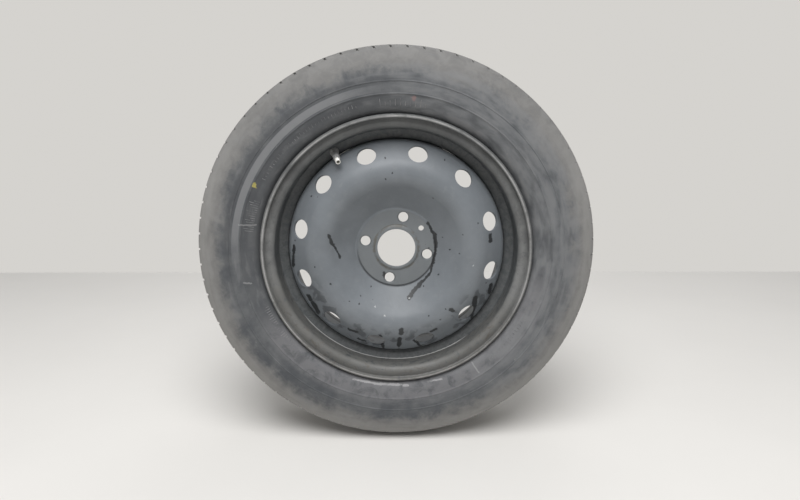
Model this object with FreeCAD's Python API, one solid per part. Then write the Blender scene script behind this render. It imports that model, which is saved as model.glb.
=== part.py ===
import FreeCAD, Part
import math
import os

Vector = FreeCAD.Vector

# A 15 inch pressed steel car wheel with its tyre and snap-in valve, in millimetres.
# The wheel turns about +Y and its outboard face looks along -Y.
# The origin is on the axis, midway between the flanges.

# Rim
RIM_WIDTH = 152.4               # between the tyre sides of the two flanges
BEAD_SEAT_DIAMETER = 380.2
BEAD_SEAT_TAPER = 5.0           # degrees
FLANGE_HEIGHT = 17.3
FLANGE_REACH = 10.8             # how far the curled flange stands out past the bead
LIP_DROP = 5.9                  # how far the flange's lip turns back down
CURL_ROUND = 5.4
LIP_ROUND = 2.6
RIM_SHEET = 2.6
HEEL_ROUND = 6.5                # at the tyre's heel
HUMP_HEIGHT = 1.3
HUMP_DISTANCE = 21.7            # crest of the safety hump, from the flange
HUMP_FOOT = 5.5                 # from the crest to the hump's foot
HUMP_ROUND = 5.0
WELL_DEPTH = 17.3
WELL_OUTBOARD_Y = -36.0
WELL_INBOARD_Y = 2.0
WELL_WALL_RUN = 8.0             # axial run of the steep wall that carries the valve
WELL_WALL_ROUND = 4.4
LEDGE_Y = 30.0
LEDGE_DROP = 4.4                # the inboard ledge lies this far below the bead seat
LEDGE_ROUND = 16.0

# Disc
DISC_SHEET = 3.5
WHEEL_OFFSET = 40.0             # hub face to the rim's middle, outboard
CENTRE_BORE_DIAMETER = 60.1
BORE_LIP_RISE = 2.2             # the bore's edge is turned outboard
BORE_LIP_RADIUS = 32.8
BORE_LIP_FOOT_RADIUS = 36.2
BORE_LIP_ROUND = 2.4
HUB_PAD_RADIUS = 60.3
HUB_PAD_ROUND = 2.6
GUTTER_RADIUS = 64.2            # shallow gutter round the raised hub pad
GUTTER_DEPTH = 2.2
GUTTER_ROUND = 5.0
BOWL_RADIUS = 86.0
BOWL_RISE = 14.8
BOWL_ROUND = 60.0
CROWN_INNER_RADIUS = 109.0
CROWN_OUTER_RADIUS = 131.0
CROWN_RISE = 34.3               # from the hub pad to the crown
CROWN_ROUND = 34.0
SHOULDER_RISE = 5.8             # from the hub pad to the corner above the skirt
SHOULDER_ROUND = 13.0
SKIRT_END_Y = -9.0
SKIRT_FIT = 0.2                 # between the skirt and the rim's well
SHEET_EDGE_ROUND = 0.7

# Holes in the disc
BOLT_COUNT = 4
BOLT_CIRCLE_DIAMETER = 100.0
BOLT_HOLE_DIAMETER = 15.5
BOLT_SEAT_DIAMETER = 19.0
BOLT_SEAT_HALF_ANGLE = 30.0     # degrees
BOLT_ANGLE = 77.4               # degrees from +X towards +Z
VENT_COUNT = 12
VENT_DIAMETER = 30.0
VENT_CIRCLE_RADIUS = 150.5
LOCATING_HOLE_DIAMETER = 8.5
LOCATING_HOLE_RADIUS = 50.0
LOCATING_HOLE_ANGLE = 38.7      # degrees from +X towards +Z

# Welds between skirt and well
WELD_COUNT = 8
WELD_SWEEP = 30.0               # degrees
WELD_LEG = 4.2
WELD_ROUND = 0.9

# Tyre
TYRE_DIAMETER = 621.5
SECTION_WIDTH = 189.0
SECTION_WIDEST_RADIUS = 252.0
BEAD_FIT = 0.3                  # between the tyre and the rim
BEAD_TOE_GAP = 0.7              # between the toe and the foot of the safety hump
BEAD_TOE_ROUND = 2.0
BEAD_TOP_ROUND = 8.0            # where the tyre bends out over the flange
BEAD_LINER_RADIUS = 203.0       # inside of the tyre, above the bead
BEAD_THICKNESS = 13.5
CUSHION_RISE = 5.1              # rib that stands over the flange, from the flange's top
CUSHION_REACH = 8.7             # from the flange's tyre side to the rib
CUSHION_ROUND = 3.0
LOWER_WALL_RADIUS = 230.0
LOWER_WALL_INSET = 2.6
UPPER_WALL_RADIUS = 282.0
UPPER_WALL_INSET = 5.2
WALL_ROUND = 45.0
WALL_THICKNESS = 7.0
TREAD_WIDTH = 152.0
TREAD_CROWN_ROUND = 356.0       # radius of the tread's curve across its width
TREAD_SHOULDER_ROUND = 11.0
TREAD_THICKNESS = 13.5
BELT_EDGE_INSET = 16.0
BELT_EDGE_ROUND = 30.0
GROOVE_OFFSETS = (14.0, 42.0)   # from the middle of the tread, on both sides
GROOVE_WIDTH = 8.5
GROOVE_FLOOR_WIDTH = 5.0
GROOVE_DEPTH = 5.5
SLOT_COUNT = 78                 # cross slots in each shoulder
SLOT_WIDTH = 3.4
SLOT_DEPTH = 4.6
SLOT_START = 53.0               # from the middle of the tread
SLOT_SKEW = 12.0                # degrees

# Snap-in valve, along its own axis: 0 is in the rim's sheet, positive is outside the tyre
VALVE_HOLE_DIAMETER = 11.3
VALVE_FIT = 0.15                # between the rubber and the rim
VALVE_COLLAR_DIAMETER = 14.0
VALVE_COLLAR_TOP = 4.6
VALVE_COLLAR_FOOT = 8.6
VALVE_NECK_DIAMETER = 11.0
VALVE_RUBBER_TOP = 28.6
VALVE_RUBBER_TOP_DIAMETER = 9.8
VALVE_RUBBER_ROUND = 0.8
VALVE_BASE_DIAMETER = 15.4
VALVE_BASE_STEP = -5.2
VALVE_BASE_END = -8.6
VALVE_BASE_END_DIAMETER = 11.6

# Brass stem in the rubber
STEM_BOND = 0.05                # between the rubber and the brass
STEM_DIAMETER = 5.8
STEM_FOOT_DIAMETER = 8.0
STEM_FOOT_TOP = -4.6
STEM_FOOT_BOTTOM = -6.4
STEM_END_Y = -8.6
STEM_THREAD_DIAMETER = 7.7
STEM_THREAD_START = 29.6
STEM_NECK_DIAMETER = 6.6
STEM_TIP = 38.0
STEM_TIP_CHAMFER = 0.6
STEM_PASSAGE_DIAMETER = 4.4
STEM_CHAMBER_DIAMETER = 5.3
STEM_CHAMBER_BOTTOM = 30.4
STEM_SEAT_BOTTOM = 28.8         # lower end of the cone that the core's gasket seals on

# Valve core
CORE_CLEARANCE = 0.1
CORE_JOINT = 0.05               # between pieces that are crimped or pressed together
PLUG_TOP = 37.2
PLUG_BOTTOM = 31.6
PLUG_SLOT_DEPTH = 2.6
PLUG_BRIDGE_WIDTH = 2.3
BARREL_DIAMETER = 3.5
BARREL_BOTTOM = 20.0
BARREL_FLOOR = 1.5
BARREL_CHAMBER_DIAMETER = 2.5
GASKET_TOP = 30.9
PIN_DIAMETER = 1.1
PIN_TOP = 37.5
PIN_BOTTOM = 16.4
PIN_COLLAR_DIAMETER = 2.1
PIN_COLLAR_TOP = 29.6
PIN_COLLAR_BOTTOM = 28.8
PIN_ROUND = 0.3
CUP_DIAMETER = 3.4
CUP_WALL = 0.3
CUP_FLOOR = 0.8
CUP_HEIGHT = 2.2
SEAL_PROUD = 0.9                # the seal stands this far out of its cup
SPRING_WIRE_DIAMETER = 0.32
SPRING_TURNS = 6

# Sizes that follow
WHEEL_AXIS = Vector(0, 1, 0)
SPIN = Vector(0, -1, 0)         # positive angles run from +X towards +Z
ORIGIN = Vector(0, 0, 0)
HALF_RIM = RIM_WIDTH / 2
SEAT_RADIUS = BEAD_SEAT_DIAMETER / 2
SEAT_SLOPE = math.tan(math.radians(BEAD_SEAT_TAPER))
FLANGE_TOP_RADIUS = SEAT_RADIUS + FLANGE_HEIGHT
BEAD_TOE_DISTANCE = HUMP_DISTANCE - HUMP_FOOT - BEAD_TOE_GAP
WELL_MID_RADIUS = SEAT_RADIUS - WELL_DEPTH - RIM_SHEET / 2
WELL_WALL_TOP_Y = WELL_OUTBOARD_Y - WELL_WALL_RUN
HUB_MID_Y = -WHEEL_OFFSET - DISC_SHEET / 2
SKIRT_RADIUS = WELL_MID_RADIUS - RIM_SHEET / 2 - SKIRT_FIT
SKIRT_MID_RADIUS = SKIRT_RADIUS - DISC_SHEET / 2
TYRE_RADIUS = TYRE_DIAMETER / 2
HALF_SECTION = SECTION_WIDTH / 2
HALF_TREAD = TREAD_WIDTH / 2


# Helpers

def seat_radius(distance):
    """Radius of the bead seat's tyre side, a distance inwards from the flange."""
    return SEAT_RADIUS - SEAT_SLOPE * distance


def radial(angle):
    """Unit vector from the wheel's axis, at an angle from +X towards +Z."""
    return Vector(math.cos(math.radians(angle)), 0, math.sin(math.radians(angle)))


def rounded_outline(corners):
    """Closed wire through (radius, y, rounding) corners. A rounding is limited by the runs beside it."""
    points = [Vector(radius, y, 0) for radius, y, rounding in corners]
    starts, middles, ends = [], [], []
    for index, corner in enumerate(corners):
        point = points[index]
        back = points[index - 1] - point
        ahead = points[(index + 1) % len(points)] - point
        half_angle = back.getAngle(ahead) / 2
        room = 0.49 * min(back.Length, ahead.Length)
        reach = min(corner[2] / math.tan(half_angle), room) if half_angle < 1.57 else 0
        rounding = reach * math.tan(half_angle)
        bisector = back / back.Length + ahead / ahead.Length
        starts.append(point + back / back.Length * reach)
        ends.append(point + ahead / ahead.Length * reach)
        if reach > 0:
            middles.append(point + bisector / bisector.Length * (rounding / math.sin(half_angle) - rounding))
        else:
            middles.append(None)
    edges = []
    for index, middle in enumerate(middles):
        edges.append(Part.LineSegment(ends[index - 1], starts[index]).toShape())
        if middle is not None:
            edges.append(Part.Arc(starts[index], middle, ends[index]).toShape())
    return Part.Wire(edges)


def sheet_corners(path, thickness, edge_round):
    """Corners of a bent sheet's section, from the (radius, y, rounding) path of its middle."""
    half = thickness / 2
    points = [Vector(radius, y, 0) for radius, y, rounding in path]
    runs = [(b - a).normalize() for a, b in zip(points, points[1:])]
    left, right = [], []
    for index, point in enumerate(points):
        before = runs[max(index - 1, 0)]
        after = runs[min(index, len(runs) - 1)]
        normal_before = Vector(-before.y, before.x, 0)
        normal_after = Vector(-after.y, after.x, 0)
        shift = (normal_before + normal_after) * (half / (1 + normal_before.dot(normal_after)))
        turn = before.x * after.y - before.y * after.x
        rounding = path[index][2]
        is_end = index in (0, len(points) - 1)
        side = math.copysign(half, turn)
        left_round = edge_round if is_end else max(rounding - side, 0)
        right_round = edge_round if is_end else max(rounding + side, 0)
        left.append((point.x + shift.x, point.y + shift.y, left_round))
        right.append((point.x - shift.x, point.y - shift.y, right_round))
    return left + right[::-1]


def revolved(corners, sweep=360):
    """Solid of a section turned about the Y axis."""
    solid = Part.Face(rounded_outline(corners)).revolve(ORIGIN, SPIN, sweep)
    if solid.Volume < 0:
        solid.reverse()
    return solid


def turned(shape, angle):
    """Copy of a shape, turned about the wheel's axis."""
    copy = shape.copy()
    copy.rotate(ORIGIN, SPIN, angle)
    return copy


def pattern(shape, count, first_angle=0):
    """Compound of copies spaced evenly about the wheel's axis."""
    return Part.makeCompound([turned(shape, first_angle + 360 / count * index) for index in range(count)])


def bar(diameter, centre, axis, half_length):
    """Cylinder through a centre, as long both ways along an axis."""
    return Part.makeCylinder(diameter / 2, 2 * half_length, centre - axis * half_length, axis)


# Rim

def flange_path(side):
    """Middle of one flange and bead seat, from the lip to the hump's crest."""
    wall = HALF_RIM + RIM_SHEET / 2
    lip = HALF_RIM + FLANGE_REACH - RIM_SHEET / 2
    top = FLANGE_TOP_RADIUS - RIM_SHEET / 2
    foot = HUMP_DISTANCE - HUMP_FOOT
    crest_radius = seat_radius(HUMP_DISTANCE) + HUMP_HEIGHT - RIM_SHEET / 2
    return [
        (FLANGE_TOP_RADIUS - LIP_DROP, side * lip, 0),
        (top, side * lip, LIP_ROUND),
        (top, side * wall, CURL_ROUND),
        (SEAT_RADIUS - RIM_SHEET / 2, side * wall, HEEL_ROUND + RIM_SHEET / 2),
        (seat_radius(foot) - RIM_SHEET / 2, side * (HALF_RIM - foot), HUMP_ROUND),
        (crest_radius, side * (HALF_RIM - HUMP_DISTANCE), HUMP_ROUND),
    ]


def rim_path():
    wall_top = (seat_radius(HUMP_DISTANCE) - RIM_SHEET / 2, WELL_WALL_TOP_Y, WELL_WALL_ROUND)
    wall_bottom = (WELL_MID_RADIUS, WELL_OUTBOARD_Y, WELL_WALL_ROUND)
    well_end = (WELL_MID_RADIUS, WELL_INBOARD_Y, LEDGE_ROUND)
    ledge = (SEAT_RADIUS - LEDGE_DROP - RIM_SHEET / 2, LEDGE_Y, LEDGE_ROUND)
    return flange_path(-1) + [wall_top, wall_bottom, well_end, ledge] + flange_path(1)[::-1]


def valve_frame():
    """Centre of the valve hole, midway on the well's steep wall, and the valve's axis, square to that wall."""
    wall_top, wall_bottom = rim_path()[6:8]
    fall = wall_bottom[0] - wall_top[0]
    length = math.hypot(fall, WELL_WALL_RUN)
    outwards = radial(VALVE_ANGLE)
    middle_radius = (wall_top[0] + wall_bottom[0]) / 2
    middle_y = (wall_top[1] + wall_bottom[1]) / 2
    centre = outwards * middle_radius + WHEEL_AXIS * middle_y
    axis = outwards * (-WELL_WALL_RUN / length) + WHEEL_AXIS * (fall / length)
    return centre, axis


def make_rim():
    hoop = revolved(sheet_corners(rim_path(), RIM_SHEET, SHEET_EDGE_ROUND))
    return hoop.cut(bar(VALVE_HOLE_DIAMETER, VALVE_CENTRE, VALVE_AXIS, 4 * RIM_SHEET))


# Disc

def disc_path():
    return [
        (CENTRE_BORE_DIAMETER / 2, HUB_MID_Y - BORE_LIP_RISE, 0),
        (BORE_LIP_RADIUS, HUB_MID_Y - BORE_LIP_RISE, BORE_LIP_ROUND),
        (BORE_LIP_FOOT_RADIUS, HUB_MID_Y, BORE_LIP_ROUND),
        (HUB_PAD_RADIUS, HUB_MID_Y, HUB_PAD_ROUND),
        (GUTTER_RADIUS, HUB_MID_Y + GUTTER_DEPTH, GUTTER_ROUND),
        (BOWL_RADIUS, HUB_MID_Y - BOWL_RISE, BOWL_ROUND),
        (CROWN_INNER_RADIUS, HUB_MID_Y - CROWN_RISE, CROWN_ROUND),
        (CROWN_OUTER_RADIUS, HUB_MID_Y - CROWN_RISE, CROWN_ROUND),
        (SKIRT_MID_RADIUS, HUB_MID_Y - SHOULDER_RISE, SHOULDER_ROUND),
        (SKIRT_MID_RADIUS, SKIRT_END_Y, 0),
    ]


def vent_tool():
    """Punch for one vent, square to the sloping ring that it goes through, on the +X side."""
    crown, shoulder = disc_path()[-3:-1]
    slope = (shoulder[1] - crown[1]) / (shoulder[0] - crown[0])
    middle_y = crown[1] + slope * (VENT_CIRCLE_RADIUS - crown[0])
    axis = Vector(slope, -1, 0).normalize()
    return bar(VENT_DIAMETER, Vector(VENT_CIRCLE_RADIUS, middle_y, 0), axis, 4 * DISC_SHEET)


def bolt_tool():
    """Bolt hole and its conical seat, on the +X side. The cone opens outboard."""
    front = Vector(BOLT_CIRCLE_DIAMETER / 2, HUB_MID_Y - DISC_SHEET / 2, 0)
    hole_radius, seat_radius_front = BOLT_HOLE_DIAMETER / 2, BOLT_SEAT_DIAMETER / 2
    depth = (seat_radius_front - hole_radius) / math.tan(math.radians(BOLT_SEAT_HALF_ANGLE))
    seat = Part.makeCone(seat_radius_front, hole_radius, depth, front, WHEEL_AXIS)
    return seat.fuse(bar(BOLT_HOLE_DIAMETER, front, WHEEL_AXIS, 3 * DISC_SHEET))


def make_disc():
    pressing = revolved(sheet_corners(disc_path(), DISC_SHEET, SHEET_EDGE_ROUND))
    bolts = pattern(bolt_tool(), BOLT_COUNT, BOLT_ANGLE)
    vents = pattern(vent_tool(), VENT_COUNT, BOLT_ANGLE)
    locating_centre = radial(LOCATING_HOLE_ANGLE) * LOCATING_HOLE_RADIUS + WHEEL_AXIS * HUB_MID_Y
    locating = bar(LOCATING_HOLE_DIAMETER, locating_centre, WHEEL_AXIS, 2 * DISC_SHEET)
    return pressing.cut(Part.makeCompound(bolts.Solids + vents.Solids + [locating]))


def make_disc_welds():
    """Fillet beads in the corner between the skirt's end and the rim's well."""
    foot = SKIRT_END_Y + SKIRT_FIT
    bead = revolved([
        (SKIRT_RADIUS, foot, 0),
        (SKIRT_RADIUS, foot + WELD_LEG, WELD_ROUND),
        (SKIRT_RADIUS - WELD_LEG, foot, WELD_ROUND),
    ], WELD_SWEEP)
    return pattern(bead, WELD_COUNT, BOLT_ANGLE)


# Tyre

def tread_radius(y):
    """Radius of the tread's surface across its width."""
    return TYRE_RADIUS - TREAD_CROWN_ROUND + math.sqrt(TREAD_CROWN_ROUND ** 2 - y ** 2)


def groove_corners(middle, side):
    """One tread groove on one side of the tyre, from its outer edge to its inner edge."""
    floor = tread_radius(middle) - GROOVE_DEPTH
    half_top, half_floor = GROOVE_WIDTH / 2, GROOVE_FLOOR_WIDTH / 2
    return [
        (tread_radius(middle + half_top), side * (middle + half_top), 0),
        (floor, side * (middle + half_floor), 0),
        (floor, side * (middle - half_floor), 0),
        (tread_radius(middle - half_top), side * (middle - half_top), 0),
    ]


def outer_corners(side):
    """One side of the tyre's outer skin, from the bead's toe to the innermost groove."""
    bead_face = HALF_RIM - BEAD_FIT
    corners = [
        (seat_radius(BEAD_TOE_DISTANCE) + BEAD_FIT, side * (HALF_RIM - BEAD_TOE_DISTANCE), BEAD_TOE_ROUND),
        (SEAT_RADIUS + BEAD_FIT, side * bead_face, HEEL_ROUND),
        (FLANGE_TOP_RADIUS + BEAD_FIT, side * bead_face, BEAD_TOP_ROUND),
        (FLANGE_TOP_RADIUS + CUSHION_RISE, side * (HALF_RIM + CUSHION_REACH), CUSHION_ROUND),
        (LOWER_WALL_RADIUS, side * (HALF_SECTION - LOWER_WALL_INSET), WALL_ROUND),
        (SECTION_WIDEST_RADIUS, side * HALF_SECTION, WALL_ROUND),
        (UPPER_WALL_RADIUS, side * (HALF_SECTION - UPPER_WALL_INSET), WALL_ROUND),
        (tread_radius(HALF_TREAD), side * HALF_TREAD, TREAD_SHOULDER_ROUND),
    ]
    for middle in sorted(GROOVE_OFFSETS, reverse=True):
        corners += groove_corners(middle, side)
    return corners


def inner_corners(side):
    """One side of the tyre's inner skin, from under the tread to the bead."""
    liner = HALF_SECTION - WALL_THICKNESS
    belt = TYRE_RADIUS - TREAD_THICKNESS
    return [
        (belt, 0, 0),
        (tread_radius(HALF_TREAD - BELT_EDGE_INSET) - TREAD_THICKNESS,
         side * (HALF_TREAD - BELT_EDGE_INSET), BELT_EDGE_ROUND),
        (UPPER_WALL_RADIUS, side * (liner - UPPER_WALL_INSET), WALL_ROUND),
        (SECTION_WIDEST_RADIUS, side * liner, WALL_ROUND),
        (LOWER_WALL_RADIUS, side * (liner - LOWER_WALL_INSET), WALL_ROUND),
        (BEAD_LINER_RADIUS, side * (HALF_RIM - BEAD_THICKNESS), BEAD_THICKNESS),
    ]


def slot_tool(side):
    """Cross slot in one shoulder of the tread, on the +X side, open at the sidewall."""
    length = HALF_SECTION - SLOT_START
    floor = tread_radius(SLOT_START) - SLOT_DEPTH
    slot = Part.makeBox(TYRE_RADIUS - floor, length, SLOT_WIDTH)
    slot.translate(Vector(floor, SLOT_START, -SLOT_WIDTH / 2))
    slot.rotate(Vector(0, SLOT_START, 0), Vector(1, 0, 0), SLOT_SKEW)
    if side < 0:
        slot.rotate(ORIGIN, Vector(1, 0, 0), 180)
    return slot


def make_tyre():
    outer = outer_corners(-1) + outer_corners(1)[::-1]
    inner = inner_corners(1)[::-1] + inner_corners(-1)[1:]
    casing = revolved(outer + inner)
    half_pitch = 180 / SLOT_COUNT
    slots = pattern(slot_tool(-1), SLOT_COUNT).Solids + pattern(slot_tool(1), SLOT_COUNT, half_pitch).Solids
    return casing.cut(Part.makeCompound(slots))


# Valve

def on_valve(shape):
    """Place a shape that was turned about +Y on the valve's axis."""
    shape.Placement = FreeCAD.Placement(VALVE_CENTRE, FreeCAD.Rotation(WHEEL_AXIS, VALVE_AXIS))
    return shape


def stem_corners(grow):
    """Outside of the brass stem, grown by a clearance, as a solid section from its lower end to its tip."""
    neck_start = VALVE_RUBBER_TOP - STEM_BOND
    return [
        (0, STEM_END_Y, 0),
        (STEM_DIAMETER / 2 + grow, STEM_END_Y, 0),
        (STEM_DIAMETER / 2 + grow, STEM_FOOT_BOTTOM - grow, 0),
        (STEM_FOOT_DIAMETER / 2 + grow, STEM_FOOT_BOTTOM - grow, 0),
        (STEM_FOOT_DIAMETER / 2 + grow, STEM_FOOT_TOP + grow, 0),
        (STEM_DIAMETER / 2 + grow, STEM_FOOT_TOP + grow, 0),
        (STEM_DIAMETER / 2 + grow, neck_start, 0),
        (STEM_NECK_DIAMETER / 2 + grow, neck_start, 0),
        (STEM_NECK_DIAMETER / 2 + grow, STEM_THREAD_START, 0),
        (STEM_THREAD_DIAMETER / 2 + grow, STEM_THREAD_START, 0),
        (STEM_THREAD_DIAMETER / 2 + grow, STEM_TIP - STEM_TIP_CHAMFER, 0),
        (STEM_THREAD_DIAMETER / 2 + grow - STEM_TIP_CHAMFER, STEM_TIP, 0),
        (0, STEM_TIP, 0),
    ]


def make_valve_body():
    """Rubber that grips the rim's sheet from both sides, bonded to the brass stem."""
    rubber = revolved([
        (0, VALVE_BASE_END, 0),
        (VALVE_BASE_END_DIAMETER / 2, VALVE_BASE_END, VALVE_RUBBER_ROUND),
        (VALVE_BASE_DIAMETER / 2, VALVE_BASE_STEP, VALVE_RUBBER_ROUND),
        (VALVE_BASE_DIAMETER / 2, 0, 0),
        (VALVE_COLLAR_DIAMETER / 2, 0, 0),
        (VALVE_COLLAR_DIAMETER / 2, VALVE_COLLAR_TOP, VALVE_RUBBER_ROUND),
        (VALVE_NECK_DIAMETER / 2, VALVE_COLLAR_FOOT, VALVE_RUBBER_ROUND),
        (VALVE_RUBBER_TOP_DIAMETER / 2, VALVE_RUBBER_TOP - STEM_BOND, VALVE_RUBBER_ROUND),
        (0, VALVE_RUBBER_TOP - STEM_BOND, 0),
    ])
    rubber = on_valve(rubber.cut(revolved(stem_corners(STEM_BOND))))
    sheet = revolved(sheet_corners(rim_path(), RIM_SHEET + 2 * VALVE_FIT, 0))
    grip = sheet.cut(bar(VALVE_HOLE_DIAMETER - 2 * VALVE_FIT, VALVE_CENTRE, VALVE_AXIS, 4 * RIM_SHEET))
    return rubber.cut(grip)


def make_valve_stem():
    passage, chamber = STEM_PASSAGE_DIAMETER / 2, STEM_CHAMBER_DIAMETER / 2
    bore = revolved([
        (0, STEM_END_Y, 0),
        (passage, STEM_END_Y, 0),
        (passage, STEM_SEAT_BOTTOM, 0),
        (chamber, STEM_CHAMBER_BOTTOM, 0),
        (chamber, STEM_TIP, 0),
        (0, STEM_TIP, 0),
    ])
    return on_valve(revolved(stem_corners(0)).cut(bore))


def make_core_plug():
    """Threaded plug with a slotted top and a hole for the pin."""
    radius = STEM_CHAMBER_DIAMETER / 2 - CORE_CLEARANCE
    hole = PIN_DIAMETER / 2 + CORE_CLEARANCE
    plug = revolved([
        (hole, PLUG_BOTTOM, 0),
        (radius, PLUG_BOTTOM, 0),
        (radius, PLUG_TOP, 0),
        (hole, PLUG_TOP, 0),
    ])
    cheek = Part.makeBox(2 * radius, PLUG_SLOT_DEPTH, radius)
    cheek.translate(Vector(-radius, PLUG_TOP - PLUG_SLOT_DEPTH, PLUG_BRIDGE_WIDTH / 2))
    return on_valve(plug.cut(Part.makeCompound([cheek, turned(cheek, 180)])))


def make_core_barrel():
    """Tube that holds the spring, closed below but for the pin's hole."""
    radius, chamber = BARREL_DIAMETER / 2, BARREL_CHAMBER_DIAMETER / 2
    hole = PIN_DIAMETER / 2 + CORE_CLEARANCE
    floor = BARREL_BOTTOM + BARREL_FLOOR
    top = PLUG_BOTTOM - CORE_JOINT
    return on_valve(revolved([
        (hole, BARREL_BOTTOM, 0),
        (radius, BARREL_BOTTOM, 0),
        (radius, top, 0),
        (chamber, top, 0),
        (chamber, floor, 0),
        (hole, floor, 0),
    ]))


def make_core_gasket():
    """Tapered ring on the barrel that seals against the stem's cone."""
    inner = BARREL_DIAMETER / 2 + CORE_JOINT
    low = STEM_PASSAGE_DIAMETER / 2 - CORE_CLEARANCE
    high = STEM_CHAMBER_DIAMETER / 2 - CORE_CLEARANCE
    return on_valve(revolved([
        (inner, STEM_SEAT_BOTTOM, 0),
        (low, STEM_SEAT_BOTTOM, 0),
        (high, STEM_CHAMBER_BOTTOM, 0),
        (high, GASKET_TOP, 0),
        (inner, GASKET_TOP, 0),
    ]))


def make_core_pin():
    shaft, collar = PIN_DIAMETER / 2, PIN_COLLAR_DIAMETER / 2
    return on_valve(revolved([
        (0, PIN_BOTTOM, 0),
        (shaft, PIN_BOTTOM, 0),
        (shaft, PIN_COLLAR_BOTTOM, 0),
        (collar, PIN_COLLAR_BOTTOM, 0),
        (collar, PIN_COLLAR_TOP, 0),
        (shaft, PIN_COLLAR_TOP, 0),
        (shaft, PIN_TOP, PIN_ROUND),
        (0, PIN_TOP, 0),
    ]))


def make_core_spring():
    """Closing spring, between the barrel's floor and the pin's collar."""
    wire = SPRING_WIRE_DIAMETER / 2
    coil = (BARREL_CHAMBER_DIAMETER + PIN_DIAMETER) / 4
    bottom = BARREL_BOTTOM + BARREL_FLOOR + CORE_CLEARANCE + wire
    height = PIN_COLLAR_BOTTOM - CORE_CLEARANCE - wire - bottom
    helix = Part.makeHelix(height / SPRING_TURNS, height, coil)
    section = Part.Wire(Part.makeCircle(wire, Vector(coil, 0, 0), Vector(0, 1, 0)))
    spring = Part.Wire(helix).makePipeShell([section], True, True)
    spring.rotate(ORIGIN, Vector(1, 0, 0), -90)
    spring.translate(WHEEL_AXIS * bottom)
    return on_valve_copy(spring)


def on_valve_copy(shape):
    """Place a shape that already has a placement of its own on the valve's axis."""
    placement = FreeCAD.Placement(VALVE_CENTRE, FreeCAD.Rotation(WHEEL_AXIS, VALVE_AXIS))
    return shape.transformGeometry(placement.toMatrix())


def cup_levels():
    """Bottom and top of the cup on the pin's lower end, shut against the barrel."""
    top = BARREL_BOTTOM - CORE_CLEARANCE - SEAL_PROUD
    return top - CUP_HEIGHT, top


def make_core_cup():
    bottom, top = cup_levels()
    radius, hole = CUP_DIAMETER / 2, PIN_DIAMETER / 2 + CORE_JOINT
    return on_valve(revolved([
        (hole, bottom, 0),
        (radius, bottom, 0),
        (radius, top, 0),
        (radius - CUP_WALL, top, 0),
        (radius - CUP_WALL, bottom + CUP_FLOOR, 0),
        (hole, bottom + CUP_FLOOR, 0),
    ]))


def make_core_seal():
    bottom, top = cup_levels()
    inner, outer = PIN_DIAMETER / 2 + CORE_JOINT, CUP_DIAMETER / 2 - CUP_WALL - CORE_JOINT
    floor, lip = bottom + CUP_FLOOR + CORE_JOINT, top + SEAL_PROUD
    return on_valve(revolved([(inner, floor, 0), (outer, floor, 0), (outer, lip, 0), (inner, lip, 0)]))


VALVE_ANGLE = BOLT_ANGLE + 360 / VENT_COUNT * 1.5   # midway between two vents
VALVE_CENTRE, VALVE_AXIS = valve_frame()

NODES = {
    "tyre": make_tyre,
    "rim": make_rim,
    "disc": make_disc,
    "disc_welds": make_disc_welds,
    "valve_body": make_valve_body,
    "valve_stem": make_valve_stem,
    "core_plug": make_core_plug,
    "core_barrel": make_core_barrel,
    "core_gasket": make_core_gasket,
    "core_pin": make_core_pin,
    "core_spring": make_core_spring,
    "core_cup": make_core_cup,
    "core_seal": make_core_seal,
}

os.makedirs("parts", exist_ok=True)
for name, make in NODES.items():
    make().exportStep(f"parts/{name}.step")
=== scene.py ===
import math

import bmesh
import bpy
from mathutils import Matrix, Vector


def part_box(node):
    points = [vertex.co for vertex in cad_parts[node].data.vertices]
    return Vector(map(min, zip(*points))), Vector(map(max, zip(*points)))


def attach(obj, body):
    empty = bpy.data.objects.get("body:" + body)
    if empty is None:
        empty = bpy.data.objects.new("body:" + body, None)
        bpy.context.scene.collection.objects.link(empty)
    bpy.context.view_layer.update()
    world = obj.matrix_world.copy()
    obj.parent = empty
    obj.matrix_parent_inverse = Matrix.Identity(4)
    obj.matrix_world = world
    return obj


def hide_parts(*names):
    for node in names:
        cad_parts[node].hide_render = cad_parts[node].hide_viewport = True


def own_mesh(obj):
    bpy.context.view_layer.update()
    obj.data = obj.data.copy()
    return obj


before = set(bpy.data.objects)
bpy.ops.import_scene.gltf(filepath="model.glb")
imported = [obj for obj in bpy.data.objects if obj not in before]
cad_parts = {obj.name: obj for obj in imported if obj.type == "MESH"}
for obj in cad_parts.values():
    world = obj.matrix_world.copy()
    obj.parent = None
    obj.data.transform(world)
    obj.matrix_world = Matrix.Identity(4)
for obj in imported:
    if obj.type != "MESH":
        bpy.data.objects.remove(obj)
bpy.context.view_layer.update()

# The wheel turns about +Y and its outboard face looks along -Y. All sizes are in metres.

# View: the camera stands a little above the wheel's axis, square to its outboard face
HUB_FRONT = Vector((0.0, -0.0435, 0.0))
HUB_PIXEL = (396.3, 247.6)
IMAGE_SIZE = (800, 500)
FOCAL_PIXELS = 616.0
SENSOR_WIDTH = 36.0
CAMERA_DISTANCE = 0.977
CAMERA_RISE = 11.5              # degrees above the wheel's axis

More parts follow.
